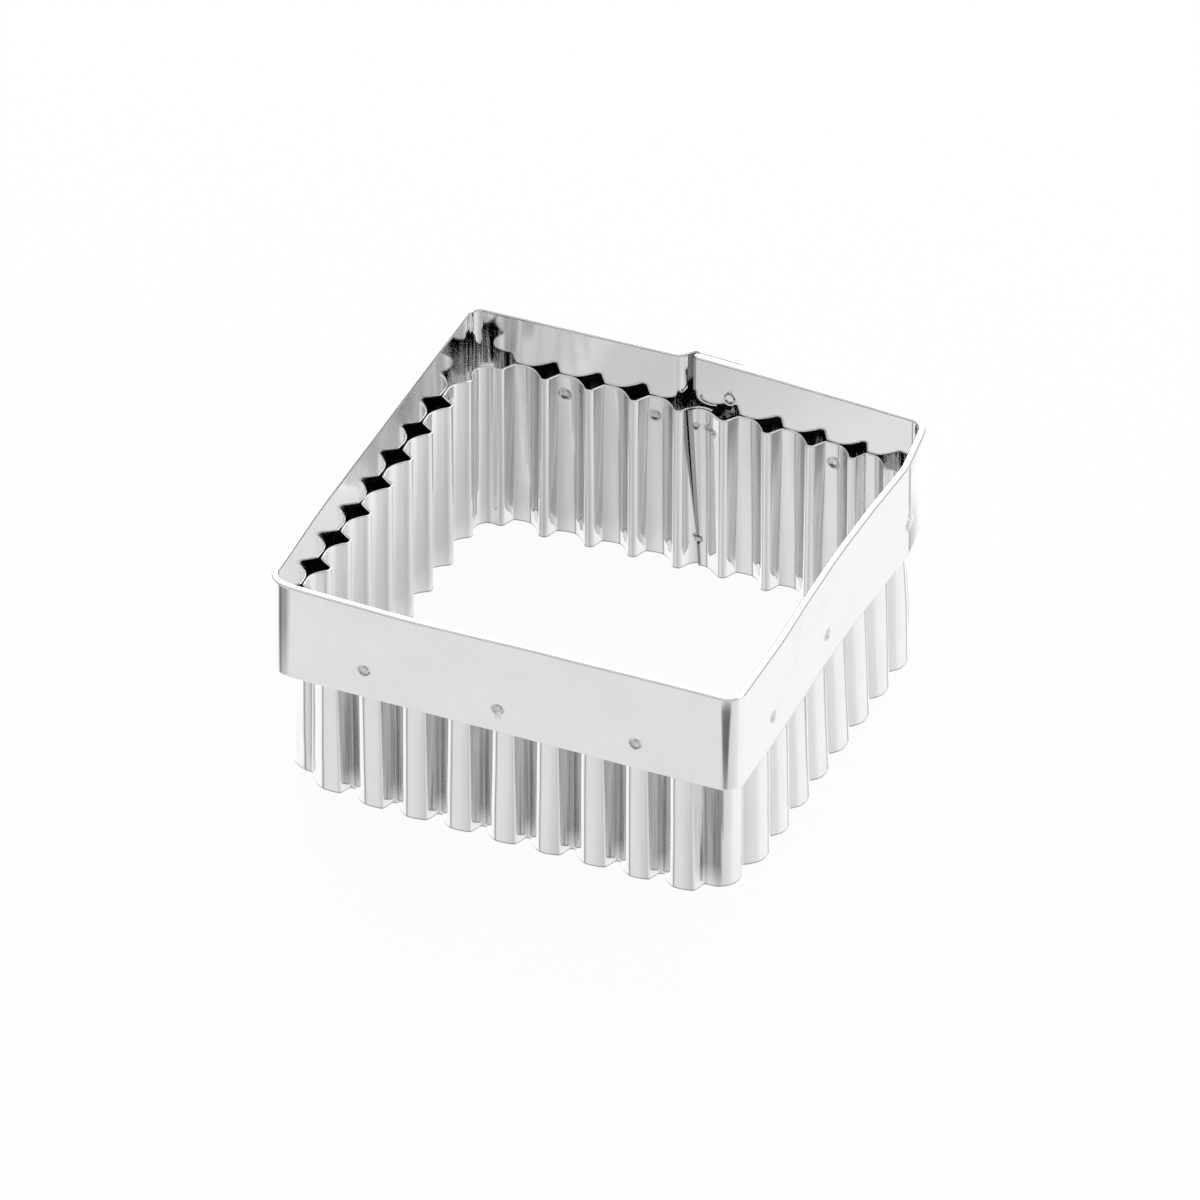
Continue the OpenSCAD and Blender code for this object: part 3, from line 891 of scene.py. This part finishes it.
class BISCUITCUTTER_OT_band(bpy.types.Operator):
    """Build the plain band that stiffens the cutter, with its lap at the back"""
    bl_idname = "biscuit_cutter.band"
    bl_label = "Rim Band"

    def execute(self, context):
        settings = context.scene.biscuit_cutter
        band, weld = settings.band, settings.weld
        fine, fine_sides = band_line(band)
        walked = lengths(fine)
        _, outer, outward = side_weld_axes(settings)
        seam_inner, seam_outer, seam_outward = band_seam_axes(settings)
        shift = np.array([0, footprint_shift()])
        marks = np.vstack([outer, seam_outer[:1]])[:, :2] + shift
        dense = np.linspace(0, walked[-1], 40000)
        path = sampled(dense, walked, fine + fine_sides * band.sheet / 2)
        at_marks = [dense[np.argmin(np.linalg.norm(path - mark, axis=1))] for mark in marks]
        at_marks.append(band.overlap - weld.band_margin)
        bent = walked[1 + CORNER_STEPS // 2 + np.arange(6) * (CORNER_STEPS + 1)]
        along = spaced(0, walked[-1], at_marks, *WELD_COLUMNS)
        corners = spaced(0, walked[-1], bent, *BEND_COLUMNS)
        near = np.min(np.abs(corners[:, None] - bent), axis=1) < BEND_REACH
        along = apart(np.concatenate([along, corners[near]]), LEAST_COLUMN)
        along[-1] = walked[-1]
        line = sampled(along, walked, fine) - shift
        sides = unit(sampled(along, walked, fine_sides))
        heights = np.unique(np.concatenate([outer[:, 2], seam_outer[:, 2]]))
        low, high = BAND_BOX[0][2], BAND_BOX[1][2]
        rows = spaced(low, high, heights, *BAND_ROWS)
        z, offset = section(low, high, band.sheet, band.edge, rows)
        wave = ripple(BAND_SEED, along[None], z[:, None], 14, band.wave, 0.022, 0.03)
        level = line[None] + sides[None] * (offset[:, None, None] + wave[..., None] - band.wave * 3.6)
        points = raised(level, z)
        face = (offset > band.sheet / 2 - 1e-9)[:, None] * 1.0
        top_layer = (along > walked[-1] / 2)[None]
        before = walked[-1] - band.overlap - along
        # Painted shade on the inner face just before the step over the inner end, where the layers jog
        shade_and_burn = 0.85 * smooth(1 - before / 0.0024)[None] * (before > -0.0003)[None] * (offset < 0)[:, None]
        points, shade_and_burn = pressed(points, shade_and_burn, face, outer, outward, weld)
        points, shade_and_burn = pressed(points, shade_and_burn, face * top_layer, seam_outer, seam_outward, weld)
        points, shade_and_burn = pressed(points, shade_and_burn, (offset < 0)[:, None] * ~top_layer, seam_inner, -seam_outward, weld)
        material = steel("band_steel", band.colour, band.roughness, lines=0.14, bump=3e-6)
        piece = closed_sheet("rim_band_sheet", settled(points, band), along, z, offset, material, shade_and_burn)
        finish_piece(piece, "band_steel", "rim_band")
        return {"FINISHED"}


class BISCUITCUTTER_OT_strip(bpy.types.Operator):
    """Build the fluted cutting strip, with its lap at the back and its slightly bent foot"""
    bl_idname = "biscuit_cutter.strip"
    bl_label = "Cutting Strip"

    def execute(self, context):
        settings = context.scene.biscuit_cutter
        band, strip, weld = settings.band, settings.strip, settings.weld
        rng = np.random.default_rng(STRAY_SEED)
        centres = bend_centres(band, strip)
        stray_top, stray_foot = np.clip(rng.normal(0, 1, (2, len(centres), 2)), -1.7, 1.7) * strip.stray
        inward = -np.sign(centres) * (np.abs(centres) > np.abs(centres[:, ::-1]))
        stray_top = stray_top * (inward == 0) + np.abs(stray_top) * inward * 0.5
        stray_top[[0, -1]] = 0
        stray_foot[[0, -1]] = 0
        top, top_sides = strip_line(band, strip, stray_top, strip.lap_top, HIGH_SHOULDER)
        foot, foot_sides = strip_line(band, strip, stray_foot, strip.lap_foot, FOOT_SHOULDER, strip.spread)
        inner, _, outward = side_weld_axes(settings)
        seam_inner, _, seam_outward = strip_seam_axes(settings)
        high = STRIP_BOX[1][2]
        rows = spaced(0, high, inner[:, 2], *STRIP_ROWS)
        rows = apart(np.concatenate([rows, seam_inner[2, 2] + np.linspace(-9e-4, 9e-4, 8)]), LEAST_ROW)
        z, offset = section(0, high, strip.sheet, strip.edge, rows)
        part = (z / high)[:, None, None]
        line = foot[None] * (1 - part) + top[None] * part
        sides = unit(foot_sides[None] * (1 - part) + top_sides[None] * part)
        walked = lengths(foot)
        wave = ripple(STRIP_SEED, walked[None], z[:, None], 14, strip.wave, 0.009, 0.025)
        wave *= np.clip(walked / SEAM_REACH - 1, 0, 1) * np.clip((walked[-1] - walked - 0.006) / 0.004, 0, 1)
        level = line + sides * (offset[:, None, None] + wave[..., None])
        level = self.bent_foot(level, z, strip)
        # Painted shade on the flanks and in the valleys, in place of the shade between the flutes
        shade_and_burn = self.painted_shade(level, sides, np.sign(offset)[:, None], part[..., 0], band)
        level = level - [0, footprint_shift()]
        points = raised(level, z)
        inside = (offset < 1e-9 - strip.sheet / 2)[:, None] * INNER_PRESS
        first_layer = inside * (walked < SEAM_REACH)[None]
        points, shade_and_burn = pressed(points, shade_and_burn, inside, inner, -outward, weld)
        points, shade_and_burn = pressed(points, shade_and_burn, first_layer, seam_inner, -seam_outward, weld, SEAM_SIZES)
        material = steel("strip_steel", strip.colour, strip.roughness, lines=0.35, bump=5e-6)
        piece = closed_sheet("cutting_strip_sheet", settled(points, band), walked, z, offset, material, shade_and_burn)
        finish_piece(piece, "strip_steel", "cutting_strip")
        return {"FINISHED"}

    def painted_shade(self, level, sides, face, part, band):
        """How much painted shade each point gets, in place of the shade between the flutes: the faces turned one way,
        and the valleys outside.

        A face's slant is the sine of its turn from its wall, and the shaded part of a flank narrows towards the foot.
        The outside is shaded less towards the top, and not at all at the very foot and the front left corner. The
        inside is shaded less towards the foot and on the left.
        """
        outward = np.sign(level) * (np.abs(level) > np.abs(level[..., ::-1]))
        slant = face * (outward[..., 0] * sides[..., 1] - outward[..., 1] * sides[..., 0])
        deep = np.abs(level).max(axis=-1)
        deep = smooth((BAND_BOX[1][0] - band.sheet - deep - 0.0013) / 0.0005) * (face > 0)
        flank = smooth((slant + 0.25 * deep - 0.83 + 0.3 * part) / 0.2)
        outside = np.maximum(0.6 * flank, smooth((slant + 0.5 * deep) / 0.25) * deep)
        outside = np.minimum(outside * (1.25 - 0.5 * part), 1) * smooth(part / 0.09)
        x, y = level[..., 0], level[..., 1]
        outside = outside * (1 - smooth((-0.0265 - x) / 0.002) * smooth((-0.025 - y) / 0.003))
        inside = flank * (0.62 + 0.36 * part) * (1 - 0.8 * smooth((-0.022 - x) / 0.004))
        return np.where(face > 0, outside, inside)

    def bent_foot(self, level, z, strip):
        """The strip's foot, pressed back at the front left corner, evenly less over the flutes beside it."""
        x, y = level[..., 0], level[..., 1]
        down = (1 - z / z.max())[:, None]
        near = np.clip(1 - (x - FOOT_CORNER) / 0.013, 0, 1) * np.clip(1 - (y - FOOT_CORNER) / 0.020, 0, 1)
        tuck = strip.tuck * near * down
        return np.stack([x - 0.23 * tuck, y + tuck], axis=-1)


class BISCUITCUTTER_OT_welds(bpy.types.Operator):
    """Build the nuggets of the spot welds"""
    bl_idname = "biscuit_cutter.welds"
    bl_label = "Spot Welds"

    def execute(self, context):
        settings = context.scene.biscuit_cutter
        weld = settings.weld
        material = weld_steel("weld_steel", weld.colour, weld.roughness)
        for name, node, axes in (
                ("side_nuggets", "side_welds", side_weld_axes),
                ("band_seam_nuggets", "band_seam_welds", band_seam_axes),
                ("strip_seam_nuggets", "strip_seam_welds", strip_seam_axes)):
            inner, outer, _ = axes(settings)
            radius = weld.nugget * (SEAM_NUGGET if node == "strip_seam_welds" else 1)
            piece = nuggets(name, inner, outer, radius, weld.press, PROUD, settings.band, material)
            finish_piece(piece, "weld_steel", node)
        return {"FINISHED"}


class BISCUITCUTTER_OT_stage(bpy.types.Operator):
    """Build the floor, the soft lights, the surroundings and the camera"""
    bl_idname = "biscuit_cutter.stage"
    bl_label = "Studio"

    def execute(self, context):
        look = context.scene.biscuit_cutter.stage
        self.floor(look)
        self.surroundings(context.scene, look)
        self.soft_light("key_light", place=(-0.30, 0.70, 0.55), size=(0.75, 0.6), power=look.key)
        self.soft_light("side_light", place=(0.75, 0.15, 0.55), size=(0.5, 0.5), power=look.side)
        self.camera(context.scene, look)
        context.scene.view_settings.view_transform = "Standard"
        return {"FINISHED"}

    def floor(self, look):
        """A wide level floor. The camera sees it nearly white, and keeps a trace of the cutter's shadow.

        The steel mirrors the room's tone in its place, with painted shade: dimmer in the left part of the inside and
        on a wedge-shaped patch in front of each front corner.
        """
        paint = Paint(bpy.data.materials.new("studio_floor"))
        path = paint.node("ShaderNodeLightPath")
        part = paint.node("ShaderNodeSeparateXYZ", None, {0: paint.node("ShaderNodeTexCoord")["Object"]})
        reach = part[0].math("ABSOLUTE").math("MAXIMUM", part[1].math("ABSOLUTE"))
        plain = paint.node("ShaderNodeBsdfDiffuse", None, {"Color": shade(look.floor)})
        white = paint.node("ShaderNodeEmission", None, {"Color": (1, 1, 1, 1), "Strength": 1.0})
        seen = path["Is Camera Ray"] * look.white
        mixed = paint.node("ShaderNodeMixShader", None, {0: seen, 1: plain[0], 2: white[0]})
        # Painted shade that only the steel's mirror sees: the floor darker inside the cutter and on wedges before the
        # front corners
        inside = paint.ramp(reach, 0.031, 0.026) * paint.ramp(part[0], 0.004, -0.018) * (1 - look.inside)
        patch = self.patch(paint, part, *RIGHT_PATCH)
        patch = patch.math("MAXIMUM", self.patch(paint, part, *LEFT_PATCH) * LEFT_SHARE)
        room = paint.node("ShaderNodeBsdfTransparent", None, {
            "Color": paint.blend(inside + patch * (1 - look.patch), (1, 1, 1, 1), (0, 0, 0, 1))})
        whole = paint.node("ShaderNodeMixShader", None, {0: path["Is Glossy Ray"], 1: mixed[0], 2: room[0]})
        paint.node("ShaderNodeOutputMaterial", None, {"Surface": whole[0]})
        corners = np.array([(-1, -1, 0), (1, -1, 0), (1, 1, 0), (-1, 1, 0)]) * FLOOR_HALF
        floor = mesh_object("studio_floor", corners, np.array([[0, 1, 2, 3]]), paint.owner)

    def patch(self, paint, part, corner, bearing, spread, end):
        """A painted dark wedge on the floor in front of a corner, which only the steel's mirror sees. Away from the
        corner it grows darker and wider, up to its end.
        """
        right, ahead = part[0] - corner[0], part[1] * -1 - corner[1]
        far = (right * right + ahead * ahead).math("SQRT")
        turned = (right.math("ARCTAN2", ahead) - math.radians(bearing)).math("ABSOLUTE")
        half = paint.ramp(far, 0.024, 0.045) * math.radians(spread[1] - spread[0]) + math.radians(spread[0])
        beside = paint.ramp(turned - half, math.radians(8), 0.0)
        return beside * paint.ramp(far, end[1], end[0]) * paint.ramp(far, 0.0175, 0.034)

    def surroundings(self, scene, look):
        """Plain pale surroundings, which the camera sees as white.

        The steel mirrors a pale room, white to the left, behind and to the right and grey in front, with a narrow dark
        part in front on the left and another behind on the right. The tone below the horizon is a ramp over the turn
        round the cutter. A darker ring lies round the horizon, and the part above it is plain.
        """
        scene.world = scene.world or bpy.data.worlds.new("studio")
        paint = Paint(scene.world)
        path = paint.node("ShaderNodeLightPath")
        part = paint.node("ShaderNodeSeparateXYZ", None, {0: paint.node("ShaderNodeTexCoord")["Generated"]})
        turned = part[0].math("ARCTAN2", part[1] * -1) * (0.5 / math.pi) + 0.5
        stops = [(0.5 + degrees / 360, tone / TOP_TONE) for degrees, tone in ROOM_TONES]
        room = paint.node("ShaderNodeValToRGB", {"stops": stops}, {0: turned})[0]
        level = paint.ramp(part[2], -0.2, -0.06)
        lift = paint.ramp(part[2], 0.1, 0.35)
        tone = room * TOP_TONE * (1 - level) + (level - lift) * HORIZON_TONE + lift * look.above_tone
        glossy = path["Is Glossy Ray"]
        strength = path["Is Camera Ray"] * (1 - look.ambient) + look.ambient + glossy * (tone - look.ambient)
        glow = paint.node("ShaderNodeBackground", None, {"Color": (1, 1, 1, 1), "Strength": strength})
        paint.node("ShaderNodeOutputWorld", None, {"Surface": glow[0]})

    def soft_light(self, name, place, size, power):
        """A rectangular lamp that faces the cutter."""
        lamp = bpy.data.lights.new(name, "AREA")
        lamp.shape = "RECTANGLE"
        lamp.size, lamp.size_y = size
        lamp.energy = power
        holder = bpy.data.objects.new(name, lamp)
        aim = Vector((0, 0, 0.015)) - Vector(place)
        holder.matrix_world = Matrix.Translation(place) @ aim.to_track_quat("-Z", "Y").to_matrix().to_4x4()
        bpy.context.scene.collection.objects.link(holder)

    def camera(self, scene, look):
        """A long lens at the photograph's angle, level apart from a small roll."""
        a, e = look.azimuth, look.elevation
        back = Vector((math.sin(a) * math.cos(e), -math.cos(a) * math.cos(e), math.sin(e)))
        right = Vector((math.cos(a), math.sin(a), 0))
        up = back.cross(right)
        c, s = math.cos(look.roll), math.sin(look.roll)
        right, up = c * right + s * up, c * up - s * right
        middle = Vector((0, -footprint_shift(), 0))
        place = middle + back * look.away + right * look.aside + up * look.above
        lens = bpy.data.cameras.new("photo_camera")
        lens.lens = look.lens
        lens.sensor_width = 36
        lens.clip_start, lens.clip_end = 0.1, 100
        holder = bpy.data.objects.new("photo_camera", lens)
        turned = Matrix((right, up, back)).transposed().to_4x4()
        holder.matrix_world = Matrix.Translation(place) @ turned
        scene.collection.objects.link(holder)
        scene.camera = holder


class BISCUITCUTTER_PT_panel(bpy.types.Panel):
    """The cutter's pieces and settings"""
    bl_idname = "BISCUITCUTTER_PT_panel"
    bl_label = "Biscuit Cutter"
    bl_space_type = "VIEW_3D"
    bl_region_type = "UI"
    bl_category = "Biscuit Cutter"

    def draw(self, context):
        settings = context.scene.biscuit_cutter
        for operator, group in (
                (BISCUITCUTTER_OT_band, settings.band), (BISCUITCUTTER_OT_strip, settings.strip),
                (BISCUITCUTTER_OT_welds, settings.weld), (BISCUITCUTTER_OT_stage, settings.stage)):
            box = self.layout.box()
            box.operator(operator.bl_idname)
            for name in group.__annotations__:
                box.prop(group, name)


CLASSES = (
    BandSettings, StripSettings, WeldSettings, StageSettings, CutterSettings,
    BISCUITCUTTER_OT_band, BISCUITCUTTER_OT_strip, BISCUITCUTTER_OT_welds, BISCUITCUTTER_OT_stage,
    BISCUITCUTTER_PT_panel)


def register():
    for each in CLASSES:
        bpy.utils.register_class(each)
    bpy.types.Scene.biscuit_cutter = PointerProperty(type=CutterSettings)


def unregister():
    del bpy.types.Scene.biscuit_cutter
    for each in reversed(CLASSES):
        bpy.utils.unregister_class(each)


def main():
    register()
    bpy.ops.biscuit_cutter.band()
    bpy.ops.biscuit_cutter.strip()
    bpy.ops.biscuit_cutter.welds()
    bpy.ops.biscuit_cutter.stage()


if __name__ == "__main__":
    main()
